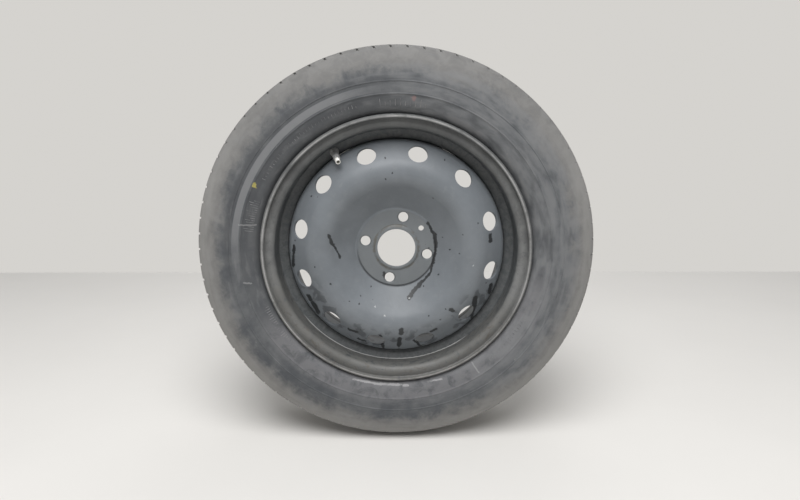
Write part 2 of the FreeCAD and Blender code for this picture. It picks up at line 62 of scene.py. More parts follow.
# Room
FLOOR_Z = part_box("tyre")[0][2]
FLOOR_END = 1.06                # the floor ends behind the wheel, in front of the backdrop
FLOOR_REACH = 8.0
FLOOR_COLOUR = (0.78, 0.764, 0.737)
BACKDROP_COLOUR = (0.665, 0.65, 0.622)
FLOOR_TINT = 0.94               # darkest cloud on the floor, as a share of its colour
FRONT_COLOUR = (0.42, 0.42, 0.42)
FRONT_FADE = (0.1, -0.5)        # the backdrop turns into the front between these parts of a direction's Y
ZENITH_COLOUR = (0.28, 0.28, 0.28)
ZENITH_FADE = (0.2, 0.6)        # and either one into the zenith between these parts of its Z
LAMP_SIZE = 2.0
KEY_PLACE = (-0.1, -1.35, 2.15)
KEY_TARGET = (0, 0, -0.05)
KEY_POWER = 74.0
BACK_PLACE = (0.5, 2.0, 1.9)
BACK_TARGET = (0, 0, 0)
BACK_POWER = 12.0

# Tyre surface
TYRE_RADIUS = 0.31075
TREAD_CROWN = 0.356             # radius of the tread's curve across its width
GROOVES = (-0.042, -0.014, 0.014, 0.042)
RIB_MIDDLES = (-0.028, 0.0, 0.028)
GROOVE_HALF_TOP = 0.00425
GROOVE_HALF_FLOOR = 0.0025
GROOVE_DEPTH = 0.0055
SLOT_COUNT = 78
SLOT_HALF_TOP = 0.0017
SLOT_HALF_FLOOR = 0.00145
SLOT_START = 0.053
SLOT_END_WALL = 0.0003
SHOULDER_ROWS = (0.058, 0.063, 0.068)
SLOT_FADE = (0.064, 0.0795)     # the cross slots run out between these distances from the tyre's middle
SLOT_LOWEST = 0.2898            # radius below which no row belongs to a slot
SLOT_DEPTH = 0.0044
SLOT_SKEW = math.tan(math.radians(12))
WALL_POINTS = (                 # sidewall from the flange to the shoulder: radius, distance from the middle
    (0.2068, 0.0772), (0.2092, 0.0798), (0.2122, 0.0840), (0.2160, 0.0876),
    (0.2230, 0.0906), (0.2350, 0.0932), (0.2520, 0.0940), (0.2680, 0.0926),
    (0.2830, 0.0889), (0.2938, 0.0834), (0.3003, 0.0772), (0.3036, 0.0715),
)
WALL_STEP = 0.0034
BEAD_POINTS = ((0.1894, 0.0592), (0.1899, 0.0700), (0.1920, 0.0742), (0.1966, 0.0759), (0.2020, 0.0759))
LINER_POINTS = (                # inside, from the middle to the bead
    (0.2972, 0.0), (0.2945, 0.060), (0.2820, 0.0823), (0.2520, 0.0872), (0.2300, 0.0849), (0.2030, 0.0627),
)
RIDGE_RADII = (0.2352, 0.2532)  # thin moulded rings on the sidewall
RIDGE_HALF_WIDTH = 0.0007
RIDGE_HEIGHT = 0.0006
RIDGE_CLEAR = 2.4               # half widths round a ring that have no other rows
RAISED_BARS = (                 # rows of moulded bars: first and last angle, inner and outer radius, count
    (159, 171, 0.2175, 0.2315, 15), (203, 223, 0.2145, 0.2215, 21), (79, 96, 0.2185, 0.2290, 10),
    (105, 150, 0.2225, 0.2275, 34), (308, 332, 0.2205, 0.2265, 18),
)
BAR_HEIGHT = 0.0005
BAR_SINK = 0.0006
BAR_HALF_WIDTH = 0.0006
BAR_TOP_SHARE = 0.6             # width of a bar's top, as a share of its foot
BAR_SHORTEST = 0.55             # bars have four lengths, as shares of the row's height
BAR_STEP = 0.15

# Brass stem of the valve, along its own axis
VALVE_CENTRE = Vector((-0.0960206, -0.0400, 0.1513042))
VALVE_AXIS = Vector((0.24699, -0.88742, -0.38920))
STEM_OUTSIDE = (                # radius and place along the axis, from the lower end up to the thread
    (0.0029, -0.0086), (0.0029, -0.0064), (0.0040, -0.0064), (0.0040, -0.0046), (0.0029, -0.0046),
    (0.0029, 0.02855), (0.0033, 0.02855), (0.0033, 0.0296),
)
STEM_THREAD = (0.0296, 0.0377)
STEM_INSIDE = ((0.0037, 0.0380), (0.00265, 0.0380), (0.00265, 0.0304), (0.0022, 0.0288), (0.0022, -0.0086))
THREAD_PITCH = 0.000794
THREAD_RADII = (0.0034, 0.00385)
STEM_COLUMNS = 40
ROWS_PER_TURN = 8

# Closing spring in the valve's core
SPRING_SPAN = (0.02165, 0.02865)    # ends along the valve's axis, at the barrel's floor and the pin's collar
SPRING_RADIUS = 0.0009
SPRING_WIRE_RADIUS = 0.00016
SPRING_TURNS = 6
SPRING_ROWS_PER_TURN = 24
SPRING_SIDES = 8

# Photograph marks, as pixels
CHIP_STREAKS = (                # black paint runs and scrapes on the disc: start, end, half width
    ((427.7, 223.0), (434.6, 234.6), 1.6), ((434.6, 234.6), (435.6, 247.0), 2.2),
    ((435.6, 247.0), (433.0, 263.0), 1.7), ((433.0, 263.0), (429.5, 274.0), 1.3),
    ((429.5, 274.0), (419.0, 284.6), 1.5), ((419.0, 284.6), (408.8, 298.0), 2.2),
    ((329.0, 236.0), (333.0, 244.0), 1.8), ((333.0, 244.0), (340.5, 258.0), 0.9),
    ((293.8, 246.0), (293.5, 265.5), 1.9), ((384.0, 273.0), (384.5, 276.5), 1.8),
    ((490.3, 235.0), (490.5, 241.0), 2.4), ((491.0, 285.0), (489.5, 292.0), 2.6),
    ((475.5, 298.0), (474.0, 306.0), 3.2), ((474.0, 306.0), (470.5, 314.0), 2.2),
    ((308.6, 296.0), (310.5, 299.5), 2.6), ((313.0, 303.0), (318.0, 311.5), 3.0),
    ((348.5, 329.0), (357.0, 332.0), 1.8), ((400.8, 330.0), (401.4, 333.0), 2.8),
    ((399.6, 338.5), (399.0, 345.5), 2.6), ((431.0, 331.5), (436.0, 329.0), 1.8),
    ((451.0, 309.5), (453.5, 311.0), 2.0), ((380.0, 338.0), (384.0, 340.0), 1.6),
    ((358.0, 338.5), (365.0, 341.0), 1.6), ((414.0, 340.0), (420.0, 339.0), 1.5),
)
CHIP_DOTS = (                   # small black chips on the disc
    (385.6, 158.0), (444.6, 159.7), (386.0, 179.3), (392.5, 172.7), (311.4, 195.7),
    (315.0, 266.8), (330.5, 284.4), (371.0, 286.0), (358.8, 303.6), (348.9, 302.0),
    (438.4, 274.5), (423.9, 286.0), (451.4, 309.7), (446.0, 309.0), (449.9, 249.7),
)
DOT_HALF_WIDTH = 1.0
SPECKS = ((374.9, 306.6), (384.5, 315.8), (409.3, 298.5), (472.9, 265.3))
SPECK_HALF_WIDTH = 0.8
YELLOW_DOT = (254.5, 185.5)
YELLOW_HALF_WIDTH = 2.8
RED_MARK = (413.5, 97.5)
RED_HALF_WIDTH = 2.2
SCRAPES = (                     # pale scrapes low on the tyre: start, end, half width
    ((353.0, 379.5), (378.0, 384.0), 0.9), ((378.0, 384.0), (408.0, 385.5), 1.1),
    ((428.0, 381.5), (442.0, 379.0), 0.8),
)
PALE_BARS = (                   # rubbed bars on the sidewall: start, end, half width
    ((239.0, 225.0), (256.0, 225.0), 0.8), ((244.0, 283.0), (251.5, 283.5), 0.9),
    ((471.7, 362.0), (479.0, 372.6), 0.8),
)

# Zones of the sidewall: radii where a tone starts and is full
INNER_WALL = (0.2385, 0.2345)
LOW_WALL = (0.246, 0.232)
DUST_START = (0.258, 0.282)
FOOT_START = (0.270, 0.298)

# Rings of the sidewall: inner and outer radius, and fade
HAZE_BAND = (0.209, 0.274, 0.010)
SMOOTH_BAND = (0.2385, 0.2475, 0.001)
SHADED_BANDS = ((0.2265, 0.2335, 0.004), (0.2515, 0.2565, 0.007))

# Zones of the disc and rim: where a tone starts and is full, as radii or as places along the axis
PAD_EDGE = (0.0625, 0.0600)
DISC_FOOT = (0.120, 0.138)
FLANGE_START = (0.0725, 0.0770)
LIP_START = (0.0852, 0.0862)
BEND_START = (0.1835, 0.1845)
RIM_DUST_START = (-0.0450, -0.0470)

# Rings of the disc and rim: first and last radius or place along the axis, and fade
BORE_BAND = (0.0335, 0.0375, 0.001)
GUTTER_BAND = (0.0615, 0.0632, 0.0012)
# ring of the painted highlight on the flange's rounded lip
LIP_BAND = (0.2032, 0.2046, 0.0007)
# place along the axis of the painted highlight in the bend
BEND_BAND = (-0.0452, -0.0445, 0.0007)

# Sectors of the wheel: middle angle, half width and fade, in degrees from +X towards +Z
SHADED_SECTOR = (136, 30, 30)
# painted sheen on the smooth band, in one sector only
SHEEN_SECTOR = (140, 18, 30)
LOW_SECTOR = (280, 60, 20)
HAZE_SECTOR = (18, 58, 30)
# sides and bottom of the shoulder, where light from the floor is painted
FOOT_SECTOR = (270, 108, 36)
# lower half, where dirt and painted shade lie in the gutter round the hub pad
PAD_EDGE_SECTOR = (285, 75, 35)
DISC_FOOT_SECTOR = (270, 62, 14)
RIM_DUST_SECTOR = (262, 58, 25)
# top of the wheel, where shade is painted on the flange
FLANGE_TOP_SECTOR = (88, 38, 40)
RUST_SECTOR = (265, 50, 20)
# bottom of the wheel, where the bend's painted highlight lies
BEND_HIGHLIGHT_SECTOR = (262, 38, 10)

# Colours of the tyre
RUBBER_DARK = (0.070, 0.075, 0.082)
RUBBER_LIGHT = (0.124, 0.128, 0.133)
RUBBER_INNER = (0.070, 0.073, 0.078)
RUBBER_SHADED = (0.058, 0.061, 0.066)
# painted sheen: colour of the smooth band where light falls on it
RUBBER_SHEEN = (0.205, 0.209, 0.216)
RUBBER_LOW = (0.165, 0.164, 0.171)
RUBBER_HAZE = (0.190, 0.195, 0.201)
RUBBER_STREAK = (0.19, 0.192, 0.196)
DUST_DARK = (0.163, 0.160, 0.155)
DUST_LIGHT = (0.207, 0.203, 0.196)
# painted light from the floor, pale like dust, on the lower shoulder
PAINTED_FLOOR_LIGHT = (0.295, 0.29, 0.281)
DUST_PALE = (0.27, 0.265, 0.255)
SCRAPE_COLOUR = (0.36, 0.355, 0.36)
PALE_BAR_COLOUR = (0.36, 0.36, 0.36)
YELLOW = (0.42, 0.37, 0.10)
RED = (0.28, 0.155, 0.145)

# Colours of the disc and rim
PAINT_DARK = (0.142, 0.156, 0.170)
PAINT_LIGHT = (0.172, 0.188, 0.204)
PAINT_WORN = (0.215, 0.226, 0.234)
PAD_PAINT = (0.140, 0.148, 0.148)
# dirt and painted shade in the gutter round the hub pad
GUTTER_DIRT_AND_SHADE = (0.045, 0.047, 0.050)
BORE_RUST = (0.10, 0.085, 0.055)
CHIP_BLACK = (0.016, 0.017, 0.018)
SPECK_COLOUR = (0.5, 0.5, 0.5)
RIM_DARK = (0.053, 0.058, 0.061)
RIM_LIGHT = (0.100, 0.105, 0.107)
RIM_DUST = (0.125, 0.123, 0.115)
RIM_RUST = (0.085, 0.066, 0.050)
FLANGE_DARK = (0.103, 0.105, 0.105)
FLANGE_LIGHT = (0.169, 0.171, 0.169)
# painted shade on the flange at the top of the wheel
FLANGE_TOP_SHADE = (0.070, 0.074, 0.075)
# painted highlight along the flange's lip
LIP_HIGHLIGHT = (0.34, 0.335, 0.33)
# painted highlight in the concave bend low on the outboard side
BEND_HIGHLIGHT = (0.50, 0.50, 0.49)


# View

def make_camera():
    """Camera that puts the hub pad's centre on its pixel, at the photograph's distance and height."""
    rise = math.radians(CAMERA_RISE)
    place = HUB_FRONT + Vector((0, -math.cos(rise), math.sin(rise))) * CAMERA_DISTANCE
    pitch_offset = math.atan((IMAGE_SIZE[1] / 2 - HUB_PIXEL[1]) / FOCAL_PIXELS)
    yaw_offset = math.atan((IMAGE_SIZE[0] / 2 - HUB_PIXEL[0]) / FOCAL_PIXELS)
    data = bpy.data.cameras.new("camera")
    data.sensor_width = SENSOR_WIDTH
    data.lens = FOCAL_PIXELS / IMAGE_SIZE[0] * SENSOR_WIDTH
    data.clip_start = 0.01
    camera = bpy.data.objects.new("camera", data)
    camera.location = place
    camera.rotation_euler = (math.pi / 2 - rise - pitch_offset, 0, -yaw_offset)
    bpy.context.scene.collection.objects.link(camera)
    bpy.context.scene.camera = camera
    bpy.context.view_layer.update()
    return camera


def pixel_ray(camera, pixel):
    """Start and direction of the line of sight through a pixel."""
    across = (pixel[0] - IMAGE_SIZE[0] / 2) / FOCAL_PIXELS
    up = (IMAGE_SIZE[1] / 2 - pixel[1]) / FOCAL_PIXELS
    direction = camera.matrix_world.to_3x3() @ Vector((across, up, -1))
    return camera.matrix_world.translation, direction.normalized()


def seen_at(camera, obj, pixel):
    """Point of an object that the camera sees at a pixel, or else a point of that ray at the hub's depth."""
    start, direction = pixel_ray(camera, pixel)
    hit, place, _, _ = obj.ray_cast(start, direction)
    return place if hit else start + direction * CAMERA_DISTANCE


# Shader helpers

def new_material(name):
    material = bpy.data.materials.new(name)
    material.use_nodes = True
    tree = material.node_tree
    return material, tree, tree.nodes["Principled BSDF"]


def add(tree, kind, inputs, **settings):
    """New node with its settings, and its inputs linked or set by position or name."""
    node = tree.nodes.new("ShaderNode" + kind)
    for key, value in settings.items():
        setattr(node, key, value)
    for key, value in inputs.items():
        if isinstance(value, bpy.types.NodeSocket):
            tree.links.new(value, node.inputs[key])
        else:
            node.inputs[key].default_value = value
    return node


def calc(tree, operation, a, b=0.0, c=0.0):
    return add(tree, "Math", {0: a, 1: b, 2: c}, operation=operation).outputs[0]


def step(tree, value, low, high):
    """0 at low and 1 at high, or the other way round if low is larger."""
    inputs = {"Value": value, "From Min": low, "From Max": high}
    return add(tree, "MapRange", inputs, interpolation_type="SMOOTHSTEP").outputs[0]


def noise(tree, place, scale, detail=4.0, roughness=0.6, distortion=0.0):
    inputs = {"Vector": place, "Scale": scale, "Detail": detail}
    inputs |= {"Roughness": roughness, "Distortion": distortion}
    return add(tree, "TexNoise", inputs).outputs[0]


def blend(tree, amount, a, b):
    a, b = (value if isinstance(value, bpy.types.NodeSocket) else (*value, 1) for value in (a, b))
    return add(tree, "Mix", {0: amount, 6: a, 7: b}, data_type="RGBA").outputs[2]


def lay(tree, colour, mask, strength, top):
    """Colour with a top one laid over it where the mask is 1, at a strength."""
    return blend(tree, calc(tree, "MULTIPLY", mask, strength), colour, top)


def product(tree, *values):
    result = values[0]
    for value in values[1:]:
        result = calc(tree, "MULTIPLY", result, value)
    return result


def largest(tree, values):
    result = values[0]
    for value in values[1:]:
        result = calc(tree, "MAXIMUM", result, value)
    return result


def wheel_place(tree):
    """Place on the part, and its distance from the wheel's axis, place along it and direction round it."""
    place = add(tree, "TexCoord", {}).outputs["Object"]
    parts = add(tree, "SeparateXYZ", {0: place})
    flat = add(tree, "CombineXYZ", {0: parts.outputs[0], 2: parts.outputs[2]}).outputs[0]
    radius = add(tree, "VectorMath", {0: flat}, operation="LENGTH").outputs["Value"]
    direction = add(tree, "VectorMath", {0: flat}, operation="NORMALIZE").outputs[0]
    return place, radius, parts.outputs[1], direction


def sector(tree, direction, angle, half_width, soft):
    """1 within half_width degrees of an angle, counted from +X towards +Z, fading over soft degrees."""
    towards = Vector((math.cos(math.radians(angle)), 0, math.sin(math.radians(angle))))
    along = add(tree, "VectorMath", {0: direction, 1: towards}, operation="DOT_PRODUCT").outputs["Value"]
    return step(tree, along, math.cos(math.radians(half_width + soft)), math.cos(math.radians(half_width)))


def band(tree, value, low, high, soft):
    """1 between low and high, fading over soft on both sides."""
    return product(tree, step(tree, value, low - soft, low), step(tree, value, high + soft, high))


def make_mark_group():
    """Node group: 1 near a line between two points, 0 further off than a half width, over earlier marks.

    The earlier marks also scale the place by next to nothing, so that marks are worked out in turn.
    """
    tree = bpy.data.node_groups.new("mark", "ShaderNodeTree")
    inputs = {"Place": "Vector", "Start": "Vector", "Run": "Vector", "Width": "Float", "Earlier": "Float"}
    for name, kind in inputs.items():
        tree.interface.new_socket(name, in_out="INPUT", socket_type="NodeSocket" + kind)
    tree.interface.new_socket("Mark", in_out="OUTPUT", socket_type="NodeSocketFloat")
    given = tree.nodes.new("NodeGroupInput").outputs
    order = calc(tree, "MULTIPLY_ADD", given["Earlier"], 1e-6, 1.0)
    place = add(tree, "VectorMath", {0: given["Place"], "Scale": order}, operation="SCALE").outputs[0]
    run = given["Run"]
    offset = add(tree, "VectorMath", {0: place, 1: given["Start"]}, operation="SUBTRACT").outputs[0]
    along = add(tree, "VectorMath", {0: offset, 1: run}, operation="DOT_PRODUCT").outputs["Value"]
    whole = add(tree, "VectorMath", {0: run, 1: run}, operation="DOT_PRODUCT").outputs["Value"]
    share = add(tree, "Math", {0: along, 1: whole}, operation="DIVIDE", use_clamp=True).outputs[0]
    nearest = add(tree, "VectorMath", {0: run, "Scale": share}, operation="SCALE").outputs[0]
    distance = add(tree, "VectorMath", {0: offset, 1: nearest}, operation="DISTANCE").outputs["Value"]
    inner = calc(tree, "MULTIPLY", given["Width"], 0.65)
    outer = calc(tree, "MULTIPLY", given["Width"], 1.1)
    output = tree.nodes.new("NodeGroupOutput")
    mark = calc(tree, "MAXIMUM", step(tree, distance, outer, inner), given["Earlier"])
    tree.links.new(mark, output.inputs["Mark"])
    return tree


def marks(tree, place, lines):
    """1 on any of the (start, end, half width) lines, laid along the axis on faces that look outboard."""
    place = add(tree, "VectorMath", {0: place, 1: (1, 0, 1)}, operation="MULTIPLY").outputs[0]
    earlier = None
    for start, end, width in lines:
        node = tree.nodes.new("ShaderNodeGroup")
        node.node_tree = MARK_GROUP
        tree.links.new(place, node.inputs["Place"])
        node.inputs["Start"].default_value = start
        node.inputs["Run"].default_value = end - start + Vector((1e-5, 0, 0))
        node.inputs["Width"].default_value = width
        if earlier:
            tree.links.new(earlier, node.inputs["Earlier"])
        earlier = node.outputs[0]
    facing = add(tree, "SeparateXYZ", {0: add(tree, "TexCoord", {}).outputs["Normal"]}).outputs[1]
    return calc(tree, "MULTIPLY", earlier, step(tree, facing, -0.05, -0.15))


def on_surface(camera, obj, lines):
    """Lines given in pixels, laid on the object that the camera sees there."""
    metres = CAMERA_DISTANCE / FOCAL_PIXELS
    flat = Vector((1, 0, 1))
    laid = []
    for start, end, width in lines:
        laid.append((seen_at(camera, obj, start) * flat, seen_at(camera, obj, end) * flat, width * metres))
    return laid


def dots(pixels, half_width):
    """Lines of no length at some pixels."""
    return [(pixel, pixel, half_width) for pixel in pixels]


def ragged(tree, place, scale, amount):
    """Place, pushed about by noise so that a mark's edge is uneven."""
    push = add(tree, "TexNoise", {"Vector": place, "Scale": scale, "Detail": 3.0}).outputs["Color"]
    centred = add(tree, "VectorMath", {0: push, 1: (0.5, 0.5, 0.5)}, operation="SUBTRACT").outputs[0]
    scaled = add(tree, "VectorMath", {0: centred, "Scale": amount}, operation="SCALE").outputs[0]
    return add(tree, "VectorMath", {0: place, 1: scaled}, operation="ADD").outputs[0]


def set_roughness(tree, shader, value, low, high):
    spread = add(tree, "MapRange", {"Value": value, "To Min": low, "To Max": high})
    tree.links.new(spread.outputs[0], shader.inputs["Roughness"])


def bump(tree, shader, height, strength, distance):
    node = add(tree, "Bump", {"Height": height, "Strength": strength, "Distance": distance})
    tree.links.new(node.outputs[0], shader.inputs["Normal"])


# Materials

def tyre_rubber(camera, tyre):
    """Rubber in two tones, with dust near the tread, wiped streaks, scrapes and two dabs of paint, painted
    shade and sheen on sidewall rings, and painted light from the floor round the lower shoulder.
    """
    material, tree, shader = new_material("tyre_rubber")
    place, radius, _, direction = wheel_place(tree)
    cloud = noise(tree, place, 9.0, 5.0, 0.65)
    smear = noise(tree, place, 46.0, 6.0, 0.7, 0.5)
    grain = noise(tree, place, 900.0, 2.0)
    patch = noise(tree, place, 30.0, 8.0, 0.68, 0.25)
    round_ring = add(tree, "VectorMath", {0: direction, "Scale": 7.0}, operation="SCALE").outputs[0]
    across_ring = add(tree, "CombineXYZ", {1: calc(tree, "MULTIPLY", radius, 105.0)}).outputs[0]
    swept = add(tree, "VectorMath", {0: round_ring, 1: across_ring}, operation="ADD").outputs[0]
    streak = noise(tree, swept, 1.0, 4.0, 0.5, 0.3)

    tone = calc(tree, "MULTIPLY_ADD", patch, 0.6, calc(tree, "MULTIPLY", cloud, 0.4))
    colour = blend(tree, step(tree, tone, 0.36, 0.64), RUBBER_DARK, RUBBER_LIGHT)
    inner_wall = step(tree, calc(tree, "MULTIPLY_ADD", patch, 0.004, radius), *INNER_WALL)
    colour = lay(tree, colour, inner_wall, 0.45, RUBBER_INNER)

    near_tread = calc(tree, "MULTIPLY_ADD", calc(tree, "ADD", patch, -0.5), 0.06, radius)
    dust = product(tree, step(tree, near_tread, *DUST_START), step(tree, smear, 0.05, 0.4))
    dirt = blend(tree, step(tree, smear, 0.35, 0.65), DUST_DARK, DUST_LIGHT)
    colour = lay(tree, colour, dust, 0.85, dirt)

    shaded_rings = largest(tree, [band(tree, radius, *ring) for ring in SHADED_BANDS])
    shaded = product(tree, shaded_rings, sector(tree, direction, *SHADED_SECTOR))
    colour = lay(tree, colour, shaded, 0.55, RUBBER_SHADED)
    # painted sheen: the smooth band turns lighter in one sector only
    smooth = product(tree, band(tree, radius, *SMOOTH_BAND), sector(tree, direction, *SHEEN_SECTOR))
    colour = lay(tree, colour, smooth, 0.75, RUBBER_SHEEN)
    low_wall = product(tree, step(tree, radius, *LOW_WALL), sector(tree, direction, *LOW_SECTOR))
    colour = lay(tree, colour, product(tree, low_wall, step(tree, smear, 0.3, 0.55)), 0.8, RUBBER_LOW)

    hazy_part = product(tree, sector(tree, direction, *HAZE_SECTOR), band(tree, radius, *HAZE_BAND))
    haze = product(tree, hazy_part, step(tree, streak, 0.28, 0.62))
    colour = lay(tree, colour, haze, 0.55, RUBBER_HAZE)
    # painted light from the floor: the shoulder is paler on the sides and bottom
    foot_edge = calc(tree, "MULTIPLY_ADD", calc(tree, "ADD", streak, -0.5), 0.03, radius)
    foot = product(tree, sector(tree, direction, *FOOT_SECTOR), step(tree, foot_edge, *FOOT_START))
    colour = lay(tree, colour, foot, 0.62, PAINTED_FLOOR_LIGHT)
    colour = lay(tree, colour, step(tree, streak, 0.52, 0.72), 0.3, RUBBER_STREAK)
    colour = lay(tree, colour, step(tree, smear, 0.66, 0.74), 0.55, DUST_PALE)

    uneven = ragged(tree, place, 260.0, 0.003)
    scrapes = marks(tree, uneven, on_surface(camera, tyre, SCRAPES))
    colour = lay(tree, colour, product(tree, scrapes, step(tree, smear, 0.36, 0.5)), 0.7, SCRAPE_COLOUR)
    bars = marks(tree, uneven, on_surface(camera, tyre, PALE_BARS))
    colour = lay(tree, colour, bars, 0.4, PALE_BAR_COLOUR)
    rough = ragged(tree, uneven, 150.0, 0.009)
    yellow = marks(tree, rough, on_surface(camera, tyre, dots([YELLOW_DOT], YELLOW_HALF_WIDTH)))
    colour = lay(tree, colour, yellow, 0.8, YELLOW)
    red = marks(tree, rough, on_surface(camera, tyre, dots([RED_MARK], RED_HALF_WIDTH)))
    colour = lay(tree, colour, red, 0.5, RED)

    tree.links.new(colour, shader.inputs["Base Color"])
    set_roughness(tree, shader, smear, 0.62, 0.88)
    shader.inputs["Specular IOR Level"].default_value = 0.35
    bump(tree, shader, calc(tree, "MULTIPLY_ADD", smear, 2.0, grain), 0.25, 0.0004)
    return material


def disc_paint(camera, disc):
    """Grey paint with a duller hub pad, dirt and painted shade in its gutter, rust at the bore and black
    chips.
    """
    material, tree, shader = new_material("disc_paint")
    place, radius, _, direction = wheel_place(tree)
    cloud = noise(tree, place, 14.0, 5.0, 0.6)
    mottle = noise(tree, place, 85.0, 6.0, 0.7, 0.6)
    grain = noise(tree, place, 1400.0, 2.0)
    blotch = noise(tree, place, 48.0, 3.0, 0.5, 0.4)

    colour = blend(tree, step(tree, cloud, 0.3, 0.7), PAINT_DARK, PAINT_LIGHT)
    colour = lay(tree, colour, step(tree, mottle, 0.5, 0.75), 0.35, PAINT_WORN)
    colour = lay(tree, colour, step(tree, radius, *PAD_EDGE), 0.45, PAD_PAINT)
    # dirt and painted shade in the gutter round the hub pad, on its lower half
    gutter = product(tree, band(tree, radius, *GUTTER_BAND), sector(tree, direction, *PAD_EDGE_SECTOR))
    colour = lay(tree, colour, product(tree, gutter, step(tree, mottle, 0.24, 0.48)), 0.75, GUTTER_DIRT_AND_SHADE)
    rust = product(tree, band(tree, radius, *BORE_BAND), step(tree, mottle, 0.44, 0.56))
    colour = lay(tree, colour, rust, 0.5, BORE_RUST)

    scattered = ragged(tree, place, 300.0, 0.004)
    spots = add(tree, "TexVoronoi", {"Vector": scattered, "Scale": 60.0, "Randomness": 1.0})
    flecks = product(tree, step(tree, spots.outputs["Distance"], 0.11, 0.07), step(tree, cloud, 0.52, 0.56))
    uneven = ragged(tree, ragged(tree, place, 110.0, 0.006), 420.0, 0.0034)
    chip_lines = list(CHIP_STREAKS) + dots(CHIP_DOTS, DOT_HALF_WIDTH)
    chips = marks(tree, uneven, on_surface(camera, disc, chip_lines))
    disc_foot = product(tree, step(tree, radius, *DISC_FOOT), sector(tree, direction, *DISC_FOOT_SECTOR))
    stains = product(tree, disc_foot, step(tree, blotch, 0.52, 0.60))
    bare = largest(tree, [chips, calc(tree, "MULTIPLY", flecks, 0.8), calc(tree, "MULTIPLY", stains, 0.5)])
    colour = lay(tree, colour, bare, 0.93, CHIP_BLACK)
    specks = marks(tree, uneven, on_surface(camera, disc, dots(SPECKS, SPECK_HALF_WIDTH)))
    colour = lay(tree, colour, specks, 0.7, SPECK_COLOUR)

    tree.links.new(colour, shader.inputs["Base Color"])
    set_roughness(tree, shader, mottle, 0.36, 0.6)
    shader.inputs["Specular IOR Level"].default_value = 0.45
    relief = calc(tree, "MULTIPLY_ADD", bare, -3.0, calc(tree, "MULTIPLY_ADD", mottle, 1.5, grain))
    bump(tree, shader, relief, 0.2, 0.0003)
    return material


def rim_paint():
    """Dark paint with dusty flanges, a painted highlight along the lip, painted shade on the flanges' top,
    and rust, dust and a painted highlight on a bend low on the outboard side.
    """
    material, tree, shader = new_material("rim_paint")
    place, radius, along, direction = wheel_place(tree)
    cloud = noise(tree, place, 22.0, 5.0, 0.65)
    mottle = noise(tree, place, 120.0, 6.0, 0.7, 0.8)
    grain = noise(tree, place, 1200.0, 2.0)
    rust_spread = noise(tree, place, 60.0, 6.0, 0.7, 2.0)

    colour = blend(tree, step(tree, mottle, 0.3, 0.7), RIM_DARK, RIM_LIGHT)
    from_middle = calc(tree, "ABSOLUTE", along)
    flange = step(tree, calc(tree, "MULTIPLY_ADD", cloud, 0.004, from_middle), *FLANGE_START)
    dirt = blend(tree, step(tree, cloud, 0.35, 0.65), FLANGE_DARK, FLANGE_LIGHT)
    colour = blend(tree, calc(tree, "MULTIPLY", flange, step(tree, mottle, 0.2, 0.5)), colour, dirt)
    dusty_part = product(tree, sector(tree, direction, *RIM_DUST_SECTOR), step(tree, along, *RIM_DUST_START))
    colour = lay(tree, colour, product(tree, dusty_part, step(tree, mottle, 0.3, 0.55)), 0.75, RIM_DUST)
    # painted shade: the flange is darker at the top of the wheel
    flange_top_shade = product(tree, sector(tree, direction, *FLANGE_TOP_SECTOR), flange)
    colour = lay(tree, colour, flange_top_shade, 0.5, FLANGE_TOP_SHADE)
    # painted highlight: a thin bright ring along the flange's lip
    lip = product(tree, band(tree, radius, *LIP_BAND), step(tree, from_middle, *LIP_START))
    colour = lay(tree, colour, product(tree, lip, step(tree, cloud, 0.30, 0.62)), 0.75, LIP_HIGHLIGHT)
    rust = product(tree, sector(tree, direction, *RUST_SECTOR), step(tree, rust_spread, 0.54, 0.66))
    colour = lay(tree, colour, product(tree, rust, flange), 0.5, RIM_RUST)
    # painted highlight: a thin bright line in the bend at the bottom
    wander = calc(tree, "MULTIPLY_ADD", cloud, 0.0016, along)
    bend = product(tree, band(tree, wander, *BEND_BAND), step(tree, radius, *BEND_START))
    bend_highlight = product(tree, bend, sector(tree, direction, *BEND_HIGHLIGHT_SECTOR), step(tree, mottle, 0.25, 0.42))
    colour = lay(tree, colour, bend_highlight, 0.9, BEND_HIGHLIGHT)

    tree.links.new(colour, shader.inputs["Base Color"])
    set_roughness(tree, shader, mottle, 0.38, 0.68)
    bump(tree, shader, calc(tree, "MULTIPLY_ADD", mottle, 1.8, grain), 0.25, 0.0003)
    return material


def plain_material(name, dark, light, roughness, metallic=0.0, scale=400.0):
    """Finish of a small piece: two tones in fine noise, with a little relief."""
    material, tree, shader = new_material(name)
    place = add(tree, "TexCoord", {}).outputs["Object"]
    spread = noise(tree, place, scale, 5.0, 0.65)
    tree.links.new(blend(tree, step(tree, spread, 0.35, 0.65), dark, light), shader.inputs["Base Color"])
    set_roughness(tree, shader, spread, *roughness)
    shader.inputs["Metallic"].default_value = metallic
    bump(tree, shader, spread, 0.2, 0.0001)
    return material


# Tyre mesh

def smooth_line(points, step_length):
    """Points spaced along a smooth curve through the given points."""
    padded = [points[0]] + list(points) + [points[-1]]
    line = []
    for before, a, b, after in zip(padded, padded[1:], padded[2:], padded[3:]):
        count = max(1, round(math.dist(a, b) / step_length))
        for index in range(count):
            t = index / count
            weights = (
                -t ** 3 + 2 * t ** 2 - t,
                3 * t ** 3 - 5 * t ** 2 + 2,
                -3 * t ** 3 + 4 * t ** 2 + t,
                t ** 3 - t ** 2,
            )
            weighted = list(zip(weights, (before, a, b, after)))
            line.append(tuple(sum(weight * point[k] for weight, point in weighted) / 2 for k in (0, 1)))
    return line + [points[-1]]


def wall_width(line, radius):
    """Distance from the tyre's middle of the sidewall at a radius."""
    for (r0, y0), (r1, y1) in zip(line, line[1:]):
        if r0 <= radius <= r1:
            return y0 + (y1 - y0) * (radius - r0) / (r1 - r0)
    return line[-1][1]


def tread_radius(y):
    return TYRE_RADIUS - TREAD_CROWN + math.sqrt(TREAD_CROWN ** 2 - y ** 2)


